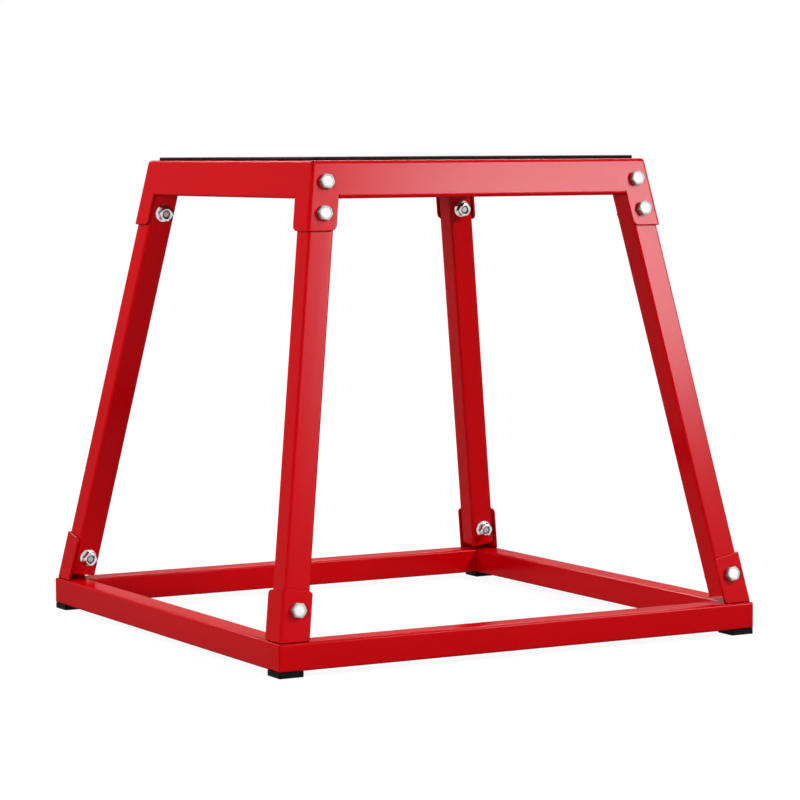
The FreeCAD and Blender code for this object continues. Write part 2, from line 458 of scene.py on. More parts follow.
def add_object(bm: BMesh, name: str) -> bpy.types.Object:
    """Turn a bmesh into an object at the origin and free it.

    Args:
        bm: The finished bmesh, with its place in its vertices.
        name: Name of the object and its mesh.

    Returns:
        The new object.
    """
    mesh = bpy.data.meshes.new(name)
    bm.to_mesh(mesh)
    bm.free()
    made = bpy.data.objects.new(name, mesh)
    bpy.context.scene.collection.objects.link(made)
    return made


def bake_modifiers(piece: bpy.types.Object) -> None:
    """Apply all of a piece's modifiers to its mesh.

    Args:
        piece: The piece, which keeps none of them.
    """
    before = piece.data
    evaluated = piece.evaluated_get(bpy.context.evaluated_depsgraph_get())
    after = bpy.data.meshes.new_from_object(evaluated)
    piece.modifiers.clear()
    piece.data = after
    after.name = piece.name
    bpy.data.meshes.remove(before)


def thicken(piece: bpy.types.Object, sheet: float) -> None:
    """Give an outer skin the thickness of its sheet, inwards.

    Args:
        piece: The skin.
        sheet: Thickness in metres.
    """
    wall = piece.modifiers.new("sheet", "SOLIDIFY")
    wall.thickness = sheet
    wall.offset = -1
    wall.use_even_offset = True
    bake_modifiers(piece)


def cut_away(piece: bpy.types.Object, cutters: BMesh) -> None:
    """Cut closed shapes out of a piece.

    Args:
        piece: The closed piece.
        cutters: The shapes to cut away, apart from each other; freed here.
    """
    tool = add_object(cutters, piece.name + "_cut")
    cut = piece.modifiers.new("cut", "BOOLEAN")
    cut.operation = "DIFFERENCE"
    cut.solver = "EXACT"
    cut.object = tool
    bake_modifiers(piece)
    spent = tool.data
    bpy.data.objects.remove(tool)
    bpy.data.meshes.remove(spent)


def ease_edges(piece: bpy.types.Object, width: float, steps: int = 2) -> None:
    """Round a piece's sharp edges a little and keep its flat faces flat.

    Args:
        piece: The piece to finish.
        width: Width of the rounding in metres.
        steps: Steps across the rounding.
    """
    bevel = piece.modifiers.new("eased_edges", "BEVEL")
    bevel.width = width
    bevel.segments = steps
    bevel.limit_method = "ANGLE"
    bevel.angle_limit = EASED_ANGLE
    bevel.use_clamp_overlap = False
    keep_flat(piece)


def keep_flat(piece: bpy.types.Object) -> None:
    """Shade a piece's flat faces flat up to their rounded edges."""
    flat = piece.modifiers.new("flat_faces", "WEIGHTED_NORMAL")
    flat.keep_sharp = True


def dress(piece: bpy.types.Object, node: str, finish: Finish) -> None:
    """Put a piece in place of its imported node, with its finish.

    Args:
        piece: The finished piece.
        node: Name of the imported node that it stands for.
        finish: The piece's surface finish.
    """
    piece.data.materials.clear()
    piece.data.materials.append(finish.material())
    piece.data.shade_smooth()
    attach(piece, BODY)
    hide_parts(node)
    LOG.info("%s stands for %s", piece.name, node)


def merged(bm: BMesh) -> BMesh:
    """Merge a bmesh's doubles and turn its faces outwards.

    Args:
        bm: The bmesh to clean.

    Returns:
        The same bmesh.
    """
    bmesh.ops.remove_doubles(bm, verts=bm.verts, dist=TOUCH)
    bmesh.ops.recalc_face_normals(bm, faces=bm.faces)
    return bm


def of_kind(geom: Iterable, kind: type) -> list:
    """Pick the vertices, edges or faces out of an operator's result."""
    return [item for item in geom if isinstance(item, kind)]


def with_parts(faces: list[BMFace]) -> list:
    """List faces together with their edges and vertices.

    Args:
        faces: The faces.

    Returns:
        Vertices, edges and faces, as Blender's operators take them.
    """
    edges = {edge for face in faces for edge in face.edges}
    verts = {vert for face in faces for vert in face.verts}
    return [*verts, *edges, *faces]


def round_off(bm: BMesh, geom: list, radius: float, steps: int, affect: str = "EDGES") -> None:
    """Round edges or corners of a bmesh.

    Args:
        bm: The bmesh.
        geom: The edges, or the vertices of the corners.
        radius: Distance at which the rounding starts.
        steps: Steps round it.
        affect: Blender's word for what is rounded, EDGES or VERTICES.
    """
    bmesh.ops.bevel(bm, geom=geom, offset=radius, offset_type="OFFSET", segments=steps,
                    profile=ROUND_PROFILE, affect=affect, material=NO_MATERIAL)


def part_faces(bm: BMesh, faces: Iterable[BMFace], point: Vector, normal: Vector,
               trim: bool = False) -> list[BMEdge]:
    """Part faces of a bmesh along a plane.

    Args:
        bm: The bmesh.
        faces: The faces that the plane parts.
        point: A point of the plane.
        normal: The plane's direction.
        trim: Whether what lies in that direction is cleared away.

    Returns:
        The edges along the plane.
    """
    cut = bmesh.ops.bisect_plane(bm, geom=with_parts(list(faces)), dist=TOUCH, plane_co=point,
                                 plane_no=normal, clear_outer=trim)
    return of_kind(cut["geom_cut"], BMEdge)


def add_rod(bm: BMesh, start: Vector, direction: Vector, length: float, radius: float, segments: int) -> None:
    """Add a round rod to a bmesh.

    Args:
        bm: The bmesh that receives it.
        start: Middle of the rod's first end.
        direction: Unit direction to its other end.
        length: Its length.
        radius: Its radius.
        segments: Faces around it.
    """
    turn = AXIS_Z.rotation_difference(direction).to_matrix().to_4x4()
    place = Matrix.Translation(start + direction * (length / 2)) @ turn
    bmesh.ops.create_cone(bm, cap_ends=True, segments=segments, radius1=radius, radius2=radius,
                          depth=length, matrix=place)


def rounded_block(low: Vector, high: Vector, radius: float, steps: int) -> BMesh:
    """Block with rounded upright edges.

    Args:
        low: Its lowest corner.
        high: Its highest corner.
        radius: Radius of the upright edges.
        steps: Steps round each of them.

    Returns:
        The closed block.
    """
    bm = bmesh.new()
    bmesh.ops.create_cube(bm, size=1.0)
    bmesh.ops.scale(bm, verts=bm.verts, vec=high - low)
    bmesh.ops.translate(bm, verts=bm.verts, vec=(low + high) / 2)
    upright = [edge for edge in bm.edges if abs(edge.verts[0].co.z - edge.verts[1].co.z) > TOUCH]
    round_off(bm, upright, radius, steps)
    return bm


def tube_blank(layout: Layout, length: float) -> BMesh:
    """Square tube along Z from the origin, with its axis on the Z axis.

    Args:
        layout: The layout that gives the tube's section.
        length: Length of the tube.

    Returns:
        The closed tube.
    """
    bm = bmesh.new()
    bmesh.ops.create_grid(bm, x_segments=1, y_segments=1, size=layout.tube / 2)
    round_off(bm, list(bm.verts), layout.tube_radius, layout.tube_steps, "VERTICES")
    inner = list(bm.faces)
    bmesh.ops.inset_individual(bm, faces=inner, thickness=layout.tube_wall, use_even_offset=True)
    bmesh.ops.delete(bm, geom=inner, context="FACES")
    grown = bmesh.ops.extrude_face_region(bm, geom=list(bm.faces))["geom"]
    bmesh.ops.translate(bm, verts=of_kind(grown, BMVert), vec=AXIS_Z * length)
    return merged(bm)


@dataclass
class TopTray:
    """Folded tray: plate, leaning skirts, corner lugs, folded-in lips and relief notches."""

    layout: Layout
    skirt_depth: float = 0.0346
    lug_radius: float = 0.0055
    lip_width: float = 0.011
    relief_width: float = 0.0005
    relief_rise: float = 0.0003
    corner_relief_radius: float = 0.0013
    corner_relief_depth: float = 0.0075
    corner_relief_steps: int = 24
    seam_width: float = 0.0005
    seam_depth: float = 0.0062
    seam_length: float = 0.010
    eased_edge: float = 0.0008
    eased_steps: int = 3
    fold_steps: int = 6

    @property
    def skirt_foot(self) -> float:
        """Height of the skirts' lower faces."""
        return self.layout.tray_top - self.skirt_depth

    @property
    def bend_top(self) -> float:
        """Height at which the lip's bend starts."""
        lean = self.layout.lean_angle
        return self.skirt_foot + self.layout.fold_radius * math.cos(lean) / math.tan(math.pi / 4 - lean / 2)

    @property
    def lip_top(self) -> float:
        """Height of the relief notches' upper ends."""
        return self.bend_top + self.relief_rise

    def folded_skin(self) -> BMesh:
        """Outer faces of the plate and the four walls, with rounded folds.

        Returns:
            An open skin whose walls all reach down to the foot of the lugs.
        """
        layout = self.layout
        bm = bmesh.new()
        bmesh.ops.create_cube(bm, size=2.0)
        for vert in bm.verts:
            height = layout.tray_top if vert.co.z > 0 else layout.lug_foot
            half = layout.wall_half(height)
            vert.co = (vert.co.x * half, vert.co.y * half, height)
        underside = min(bm.faces, key=lambda face: face.calc_center_median().z)
        bmesh.ops.delete(bm, geom=[underside], context="FACES_ONLY")
        folds = [edge for edge in bm.edges if not edge.is_boundary]
        round_off(bm, folds, layout.fold_radius, self.fold_steps)
        return bm

    def cut_wall(self, bm: BMesh, turn: Matrix) -> None:
        """Cut one wall to its lugs and fold in its lip.

        Args:
            bm: The tray's skin, already parted at the top of the lips.
            turn: Matrix that carries the front side to this side.
        """
        layout = self.layout
        lug_edge = layout.wall_half(self.lip_top) - layout.lug_width
        lip_edge = lug_edge - self.relief_width
        back = turn.inverted()

        def low_wall() -> list[BMFace]:
            """Faces of this flat wall below the lip's top."""
            outward = -(turn.to_3x3() @ layout.inward)
            return [face for face in bm.faces if face.normal.dot(outward) > SAME_FACING
                    and face.calc_center_median().z < self.lip_top]

        for reach, slope in ((lug_edge, layout.lean), (lip_edge, 0.0)):
            for sign in (-1, 1):
                part_faces(bm, low_wall(), turn @ Vector((sign * reach, 0, self.lip_top)),
                           turn.to_3x3() @ Vector((sign, 0, slope)))

        def between_lugs(face: BMFace) -> bool:
            """Whether a face of this wall lies between its two lugs."""
            middle = back @ face.calc_center_median()
            return abs(middle.x) < layout.wall_half(middle.z) - layout.lug_width

        waste = [face for face in low_wall() if between_lugs(face)]
        bmesh.ops.delete(bm, geom=waste, context="FACES")
        self.fold_lip(bm, turn, lip_edge)

    def fold_lip(self, bm: BMesh, turn: Matrix, lip_edge: float) -> None:
        """Carry a skirt's free edge round its bend and into its lip.

        Args:
            bm: The tray's skin.
            turn: Matrix that carries the front side to this side.
            lip_edge: Half the length of the lip.
        """
        layout = self.layout
        back = turn.inverted()
        steer = turn.to_3x3()

        def on_edge(vert: BMVert) -> bool:
            """Whether a vertex is on the skirt's free edge, within the lip's length."""
            local = back @ vert.co
            return (abs(local.z - self.lip_top) < TOUCH and abs(local.x) < lip_edge + TOUCH
                    and local.y < -layout.wall_half(self.lip_top) + layout.sheet)

        edge = [item for item in bm.edges if item.is_boundary and all(on_edge(vert) for vert in item.verts)]
        grown = bmesh.ops.extrude_edge_only(bm, edges=edge)["geom"]
        down = Vector((0, -layout.lean, -1)) * self.relief_rise
        bmesh.ops.translate(bm, verts=of_kind(grown, BMVert), vec=steer @ down)
        start = Vector((0, -layout.wall_half(self.bend_top), self.bend_top))
        centre = start + layout.inward * layout.fold_radius
        rim = of_kind(grown, BMVert) + of_kind(grown, BMEdge)
        spun = bmesh.ops.spin(bm, geom=rim, cent=turn @ centre, axis=steer @ AXIS_X,
                              steps=self.fold_steps + 1, angle=math.pi / 2 + layout.lean_angle,
                              use_merge=False, use_duplicate=False)
        last = of_kind(spun["geom_last"], BMEdge)
        grown = bmesh.ops.extrude_edge_only(bm, edges=last)["geom"]
        reach = self.lip_width - layout.wall_half(self.skirt_foot) - centre.y
        bmesh.ops.translate(bm, verts=of_kind(grown, BMVert), vec=steer @ Vector((0, reach, 0)))

    def round_lugs(self, bm: BMesh) -> None:
        """Round the free lower corners of the lugs.

        Args:
            bm: The tray's skin.
        """
        layout = self.layout
        free = layout.wall_half(layout.lug_foot) - layout.lug_width
        corners = [vert for vert in bm.verts if abs(vert.co.z - layout.lug_foot) < TOUCH
                   and abs(min(abs(vert.co.x), abs(vert.co.y)) - free) < layout.sheet]
        round_off(bm, corners, self.lug_radius, self.fold_steps, "VERTICES")

    def openings(self) -> BMesh:
        """Cutters for the bolt holes and for the round fold reliefs at the top corners.

        Returns:
            All the cutters, apart from each other.
        """
        layout = self.layout
        bm = bmesh.new()
        half = layout.wall_half(layout.tray_top)
        for corner in Corner:
            layout.add_drills(bm, corner, (BoltPlace.UPPER, BoltPlace.MIDDLE), layout.sheet)
            tip = corner.mirror() @ Vector((-half, -half, layout.tray_top))
            into = (corner.mirror().to_3x3() @ Vector((1, 1, -1))).normalized()
            add_rod(bm, tip - into * layout.overrun, into, layout.overrun + self.corner_relief_depth,
                    self.corner_relief_radius, self.corner_relief_steps)
        return bm

    def seams(self) -> BMesh:
        """Cutters for the short open seams that run down the corner folds from the reliefs.

        Returns:
            One thin block for each corner, with its middle at the corner's tip.
        """
        layout = self.layout
        half = layout.wall_half(layout.tray_top)
        bm = bmesh.new()
        for corner in Corner:
            block = bmesh.ops.create_cube(bm, size=2.0)["verts"]
            bmesh.ops.scale(bm, verts=block, vec=(self.seam_width / 2, self.seam_depth, self.seam_length))
            bmesh.ops.rotate(bm, verts=block, matrix=Matrix.Rotation(-math.pi / 4, 3, "Z"))
            bmesh.ops.translate(bm, verts=block, vec=(-half, -half, layout.tray_top))
            bmesh.ops.transform(bm, verts=block, matrix=corner.mirror())
        return merged(bm)

    def build(self) -> None:
        """Build the whole tray."""
        bm = self.folded_skin()
        part_faces(bm, bm.faces, AXIS_Z * self.lip_top, AXIS_Z)
        for side in Side:
            self.cut_wall(bm, side.turn())
        self.round_lugs(bm)
        bmesh.ops.remove_doubles(bm, verts=bm.verts, dist=TOUCH)
        tray = add_object(bm, "folded_tray")
        thicken(tray, self.layout.sheet)
        ease_edges(tray, self.eased_edge, self.eased_steps)
        bake_modifiers(tray)
        cut_away(tray, self.openings())
        cut_away(tray, self.seams())
        keep_flat(tray)
        dress(tray, "top_tray", RED_COAT)


@dataclass
class AntiSlipMat:
    """Rubber sheet bonded to the tray's plate."""

    corner_radius: float = 0.0045
    corner_steps: int = 8
    eased_edge: float = 0.0006
    eased_steps: int = 3

    def build(self) -> None:
        """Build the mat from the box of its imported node."""
        bm = rounded_block(*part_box("top_mat"), self.corner_radius, self.corner_steps)
        mat = add_object(merged(bm), "anti_slip_mat")
        ease_edges(mat, self.eased_edge, self.eased_steps)
        dress(mat, "top_mat", MAT_RUBBER)


@dataclass
class BaseFrame:
    """Welded square of mitred tube on four rubber feet."""

    layout: Layout
    corner_radius: float = 0.0025
    corner_steps: int = 5
    eased_mitre: float = 0.00012
    foot_corner_radius: float = 0.0015
    foot_corner_steps: int = 5
    foot_eased_edge: float = 0.0008
    foot_eased_steps: int = 4

    def rail(self, side: Side) -> None:
        """Build one rail, with its half of each ground corner.

        Args:
            side: The side that the rail runs along.
        """
        layout = self.layout
        half = layout.base_half
        bm = tube_blank(layout, 2 * half)
        lay = Matrix(((0, 0, 1, -half), (1, 0, 0, layout.tube / 2 - half),
                      (0, 1, 0, layout.base_foot + layout.tube / 2), (0, 0, 0, 1)))
        bmesh.ops.transform(bm, matrix=lay, verts=bm.verts)
        turns = [step * math.pi / 4 / self.corner_steps for step in range(self.corner_steps + 1)]
        for sign in (-1, 1):
            for turn in turns:
                reach = half - self.corner_radius * (1 - math.sin(turn))
                part_faces(bm, bm.faces, AXIS_X * (sign * reach), AXIS_X)
        for vert in bm.verts:
            over = min(abs(vert.co.x) - half + self.corner_radius, self.corner_radius)
            if over > 0:
                drop = self.corner_radius - math.sqrt(self.corner_radius ** 2 - over ** 2)
                vert.co.y = max(vert.co.y, drop - half)
        for sign in (-1, 1):
            ends = part_faces(bm, bm.faces, Vector(), Vector((sign, 1, 0)), trim=True)
            bmesh.ops.bridge_loops(bm, edges=ends)
        bmesh.ops.transform(bm, matrix=side.turn(), verts=bm.verts)
        rail = add_object(merged(bm), side.label + "_base_rail")
        ease_edges(rail, self.eased_mitre)
        dress(rail, side.label + "_rail", RED_COAT)

    def foot(self, corner: Corner) -> None:
        """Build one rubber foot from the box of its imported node.

        Args:
            corner: The corner that it carries.
        """
        node = corner.label + "_foot"
        bm = rounded_block(*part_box(node), self.foot_corner_radius, self.foot_corner_steps)
        sole = min(bm.faces, key=lambda face: face.calc_center_median().z)
        round_off(bm, list(sole.edges), self.foot_eased_edge, self.foot_eased_steps)
        pad = add_object(merged(bm), corner.label + "_rubber_foot")
        ease_edges(pad, self.eased_mitre)
        dress(pad, node, FOOT_RUBBER)

    def build(self) -> None:
        """Build the four rails and the four feet."""
        for side in Side:
            self.rail(side)
        for corner in Corner:
            self.foot(corner)


@dataclass
class SplayedLegs:
    """Four legs of square tube and the bent brackets that hold their feet."""

    layout: Layout
    bracket_height: float = 0.0485
    bracket_radius: float = 0.004
    eased_edge: float = 0.0004
    eased_bracket: float = 0.0010
    eased_bracket_steps: int = 3
    joint_height: float = 0.0009
    joint_depth: float = 0.0014
    fold_steps: int = 6

    def leg(self, corner: Corner) -> None:
        """Build one leg, cut square at both ends.

        Args:
            corner: The corner that it stands at.
        """
        layout = self.layout
        head = layout.tray_top - layout.leg_head_drop
        foot = layout.base_top + layout.leg_foot_gap
        across = layout.tube * (layout.along.z + layout.inward.z)
        length = (head - foot + across) / layout.upward.z
        half = layout.wall_half(head, layout.sheet)
        middle = (layout.along + layout.inward) * (layout.tube / 2)
        place = Vector((-half, -half, head)) - layout.upward * length + middle
        stand = Matrix((layout.along, layout.inward, layout.upward)).transposed().to_4x4()
        bm = tube_blank(layout, length)
        bmesh.ops.transform(bm, verts=bm.verts,
                            matrix=corner.mirror() @ Matrix.Translation(place) @ stand)
        leg = add_object(merged(bm), corner.label + "_leg_tube")
        drills = bmesh.new()
        layout.add_drills(drills, corner, BoltPlace, layout.tube + layout.overrun)
        cut_away(leg, drills)
        ease_edges(leg, self.eased_edge)
        dress(leg, corner.label + "_leg", RED_COAT)

    def bracket(self, corner: Corner) -> None:
        """Build one bent bracket on the base: grown past its top, then cut square to the leg.

        Args:
            corner: The corner that it stands at.
        """
        layout = self.layout
        low = layout.wall_half(layout.base_top)
        free = low - layout.lug_width
        outline_corner = Vector((-low, -low, layout.base_top))
        bm = bmesh.new()
        outline = [bm.verts.new(point) for point in (
            (-free, -low, layout.base_top), outline_corner, (-low, -free, layout.base_top))]
        edges = [bm.edges.new(pair) for pair in zip(outline, outline[1:])]
        grown = bmesh.ops.extrude_edge_only(bm, edges=edges)["geom"]
        rise = Vector((layout.lean, layout.lean, 1)) * self.bracket_height
        bmesh.ops.translate(bm, verts=of_kind(grown, BMVert), vec=2 * rise)
        bmesh.ops.transform(bm, matrix=corner.mirror(), verts=bm.verts)
        fold = [edge for edge in bm.edges if not edge.is_boundary]
        round_off(bm, fold, layout.fold_radius, self.fold_steps)
        tip = corner.mirror() @ (outline_corner + rise)
        up = corner.mirror().to_3x3() @ layout.upward
        part_faces(bm, bm.faces, tip, up, trim=True)
        corners = [vert for vert in bm.verts if abs((vert.co - tip).dot(up)) < TOUCH
                   and len(vert.link_faces) == 1]
        round_off(bm, corners, self.bracket_radius, self.fold_steps, "VERTICES")
        outward = corner.mirror().to_3x3() @ Vector((-1, -1, 0))
        bmesh.ops.reverse_faces(bm, faces=[face for face in bm.faces if face.normal.dot(outward) < 0])
        bracket = add_object(bm, corner.label + "_bent_bracket")
        thicken(bracket, layout.sheet)
        ease_edges(bracket, self.eased_bracket, self.eased_bracket_steps)
        bake_modifiers(bracket)
        drills = bmesh.new()
        layout.add_drills(drills, corner, [BoltPlace.LOWER], layout.sheet)
        cut_away(bracket, drills)
        cut_away(bracket, self.joint_lines(corner))
        keep_flat(bracket)
        dress(bracket, corner.label + "_bracket", RED_COAT)

    def joint_lines(self, corner: Corner) -> BMesh:
        """Cutter for the open joint along a bracket's two lower outer edges.

        Args:
            corner: The corner that the bracket stands at.

        Returns:
            One block that leaves the sheet's inner part standing on the base.
        """
        layout = self.layout
        low = layout.wall_half(layout.base_top)
        outer, inner = low + layout.sheet, low - self.joint_depth
        bm = bmesh.new()
        outline = [bm.verts.new((-x, -y, layout.base_top + self.joint_height)) for x, y in (
            (0, outer), (outer, outer), (outer, 0), (inner, 0), (inner, inner), (0, inner))]
        bm.faces.new(outline)
        grown = bmesh.ops.extrude_face_region(bm, geom=list(bm.faces))["geom"]
        bmesh.ops.translate(bm, verts=of_kind(grown, BMVert), vec=AXIS_Z * (-2 * self.joint_height))
        bmesh.ops.transform(bm, matrix=corner.mirror(), verts=bm.verts)
        return merged(bm)

    def build(self) -> None:
        """Build the legs and brackets of all four corners."""
        for corner in Corner:
            self.leg(corner)
            self.bracket(corner)


@dataclass
class Fasteners:
    """Hex bolts through the wall and leg at each place, each with a hex flange nut."""

    layout: Layout
    across_flats: float = 0.0127
    face_share: float = 0.9
    chamfer: float = math.radians(30)
    head_height: float = 0.0052
    dish_radius: float = 0.0052
    dish_depth: float = 0.0005
    washer_height: float = 0.0004
    washer_radius: float = 0.0058
    bolt_radius: float = 0.00395
    bolt_end_depth: float = 0.0009
    pitch: float = 0.00141
    thread_depth: float = 0.0008
    thread_length: float = 0.022
    tip_drop: float = 0.0008
    nut_height: float = 0.0085
    flange_radius: float = 0.0086
    flange_rim: float = 0.0014
    flange_angle: float = math.radians(25)
    rim_round: float = 0.0002
    bore_radius: float = 0.00405
    countersink: float = 0.0006
    segments: int = 48
    thread_steps: int = 24
    thread_shares: tuple[float, ...] = (0.0, 0.25, 0.5625, 0.6875, 1.0)
    sharp_angle: float = math.radians(24)

    @property
    def face_radius(self) -> float:
        """Radius of the round face inside the hexagon's chamfer."""
        return self.across_flats / 2 * self.face_share

    def hex_radius(self, angle: float) -> float:
        """Distance from the axis to the hexagon's outline in a direction."""
        return self.across_flats / 2 / math.cos(angle % (math.pi / 3) - math.pi / 6)

    def chamfered(self, height: float) -> Outline:
        """Outline where the hexagon meets its chamfer.

        Args:
            height: Height of the hexagon's face.

        Returns:
            A function from angle to radius and height.
        """
        def line(angle: float) -> tuple[float, float]:
            """Line where the chamfer's cone meets the hexagon."""
            reach = self.hex_radius(angle)
            return reach, height - (reach - self.face_radius) * math.tan(self.chamfer)

        return line

    def lofted(self, outlines: list[Outline]) -> tuple[BMesh, list[BMEdge], list[BMEdge]]:
        """Loft through closed outlines about the Z axis.

        Args:
            outlines: Functions from angle to radius and height, in order.

        Returns:
            The bmesh, and the edges of its first and last outlines.
        """
        bm = bmesh.new()
        bmesh.ops.create_circle(bm, segments=self.segments, radius=self.across_flats)
        first = edges = list(bm.edges)
        self.settle(list(bm.verts), outlines[0])
        for outline in outlines[1:]:
            grown = bmesh.ops.extrude_edge_only(bm, edges=edges)["geom"]
            self.settle(of_kind(grown, BMVert), outline)
            edges = of_kind(grown, BMEdge)
        return bm, first, edges

    @staticmethod
    def settle(verts: list[BMVert], outline: Outline) -> None:
        """Move vertices onto an outline, each in its own direction from the axis.

        Args:
            verts: The vertices.
            outline: A function from angle to radius and height.
        """
        for vert in verts:
            angle = math.atan2(vert.co.y, vert.co.x)
            radius, height = outline(angle)
            vert.co = (radius * math.cos(angle), radius * math.sin(angle), height)

    @staticmethod
    def ring(radius: float, height: float) -> Outline:
        """Round outline of one radius at one height."""
        return lambda angle: (radius, height)

    def thread(self, top: float, end: float) -> BMesh:
        """Threaded end of a bolt, closed at both ends.

        Args:
            top: Height at which the thread begins.
            end: Height of the bolt's end.

        Returns:
            The threaded rod.
        """
        root = self.bolt_radius - self.thread_depth
        start = end - self.pitch
        bm = bmesh.new()
        profile = zip(self.thread_shares, (root, root, self.bolt_radius, self.bolt_radius, root))
        points = [bm.verts.new((radius, 0, start + share * self.pitch)) for share, radius in profile]
        edges = [bm.edges.new(pair) for pair in zip(points, points[1:])]
        turns = math.ceil((top - start) / self.pitch) + 1
        bmesh.ops.spin(bm, geom=points + edges, cent=(0, 0, 0), axis=AXIS_Z, steps=turns * self.thread_steps,
                       dvec=AXIS_Z * (self.pitch / self.thread_steps), angle=2 * math.pi * turns,
                       use_merge=False, use_duplicate=False)
        bmesh.ops.remove_doubles(bm, verts=bm.verts, dist=TOUCH)
        for height, sign in ((top, 1), (end, -1)):
            part_faces(bm, bm.faces, AXIS_Z * height, AXIS_Z * sign, trim=True)
        for vert in bm.verts:
            reach = math.hypot(vert.co.x, vert.co.y)
            allowed = root - self.tip_drop / 2 + (vert.co.z - end)
            if reach > allowed:
                vert.co.x *= allowed / reach
                vert.co.y *= allowed / reach
        bmesh.ops.holes_fill(bm, edges=[edge for edge in bm.edges if edge.is_boundary], sides=0)
        return merged(bm)

    def bolt_blank(self) -> BMesh:
        """Bolt with its seat at the origin and its head along +Z.

        Returns:
            The bolt's bmesh.
        """
        layout = self.layout
        end = self.bolt_end_depth - layout.sheet - layout.tube - self.nut_height
        top = end + self.thread_length
        outlines = [self.ring(self.dish_radius - self.dish_depth, self.head_height - self.dish_depth),
                    self.ring(self.dish_radius, self.head_height),
                    self.ring(self.face_radius - self.rim_round, self.head_height),
                    self.chamfered(self.head_height),
                    lambda angle: (self.hex_radius(angle), self.washer_height),
                    self.ring(self.washer_radius, self.washer_height), self.ring(self.washer_radius, 0),
                    self.ring(self.bolt_radius, 0), self.ring(self.bolt_radius, top)]
        bm, first, last = self.lofted(outlines)
        bmesh.ops.holes_fill(bm, edges=first + last, sides=0)
        merged(bm)
        threaded = bpy.data.meshes.new("threaded_end")
        rod = self.thread(top, end)
        rod.to_mesh(threaded)
        rod.free()
        bm.from_mesh(threaded)
        bpy.data.meshes.remove(threaded)
        return bm

    def nut_blank(self) -> BMesh:
        """Flange nut with its seat at the origin, standing along +Z.

        Returns:
            The nut's bmesh.
        """
        rim = self.flange_radius
        wide = self.bore_radius + self.countersink
        slope = math.tan(self.flange_angle)

        def hub(angle: float) -> tuple[float, float]:
            """Line where the flange's cone meets the hexagon."""
            reach = self.hex_radius(angle)
            return reach, self.flange_rim + (rim - self.rim_round - reach) * slope

        outlines = [self.ring(wide, 0), self.ring(rim - self.rim_round, 0), self.ring(rim, self.rim_round),
                    self.ring(rim, self.flange_rim - self.rim_round),
                    self.ring(rim - self.rim_round, self.flange_rim), hub, self.chamfered(self.nut_height),
                    self.ring(self.face_radius - self.rim_round, self.nut_height),
                    self.ring(wide, self.nut_height),
                    self.ring(self.bore_radius, self.nut_height - self.countersink),
                    self.ring(self.bore_radius, self.countersink)]
        bm, first, last = self.lofted(outlines)
        bmesh.ops.bridge_loops(bm, edges=first + last)
        return merged(bm)

    def place(self, blank: BMesh, name: str, node: str, finish: Finish, seat: Vector, out: Vector,
              right: Vector) -> None:
        """Put one fastener in its hole.

        Args:
            blank: The fastener with its seat at the origin.
            name: Name of the piece.
            node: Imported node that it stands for.
            finish: Its surface finish.
            seat: Where its seat goes.
            out: Direction of its own Z.
            right: Direction of its own X.
        """
        turn = Matrix((right, out.cross(right), out)).transposed().to_4x4()
        bmesh.ops.transform(blank, matrix=Matrix.Translation(seat) @ turn, verts=blank.verts)
        piece = add_object(blank, name)
        dress(piece, node, finish)
        piece.data.set_sharp_from_angle(angle=self.sharp_angle)

    def build(self) -> None:
        """Build every bolt and nut."""
        layout = self.layout
        for corner in Corner:
            mirror = corner.mirror()
            steer = mirror.to_3x3()
            inward = steer @ layout.inward
            right = steer @ layout.along
            for place in BoltPlace:
                seat = mirror @ layout.bolt_seat(place)
                stem = f"{corner.label}_{place.value}"
                self.place(self.bolt_blank(), stem + "_hex_bolt", stem + "_bolt", SATIN_ZINC,
                           seat - inward * layout.sheet, -inward, right)
                self.place(self.nut_blank(), stem + "_flange_nut", stem + "_nut", BRIGHT_ZINC,
                           seat + inward * layout.tube, inward, right)


@dataclass(frozen=True)
class Softbox:
    """One lamp that faces the box; angles in degrees from its front and the floor, sizes in metres."""

    name: str
    azimuth: float
    elevation: float
    distance: float
    width: float
    height: float
    power: float
    glow: Glow
    tint: tuple[float, float, float] = (1.0, 1.0, 1.0)

    def build(self, target: Vector) -> None:
        """Add the lamp to the scene.

        Args:
            target: The point that it faces.
        """
        data = bpy.data.lights.new(self.name, "AREA")
        data.shape = "RECTANGLE"
        data.size = self.width
        data.size_y = self.height
        data.energy = self.power
        data.color = self.tint
        made = bpy.data.objects.new(self.name, data)
        turn, rise = math.radians(self.azimuth), math.radians(self.elevation)
        away = Vector((math.sin(turn) * math.cos(rise), -math.cos(turn) * math.cos(rise), math.sin(rise)))
        made.location = target + away * self.distance
        made.rotation_euler = away.to_track_quat("Z", "Y").to_euler()
        made.visible_camera = False
        made.visible_diffuse = self.glow is Glow.LIGHT
        made.visible_glossy = self.glow is Glow.SHINE
        bpy.context.scene.collection.objects.link(made)


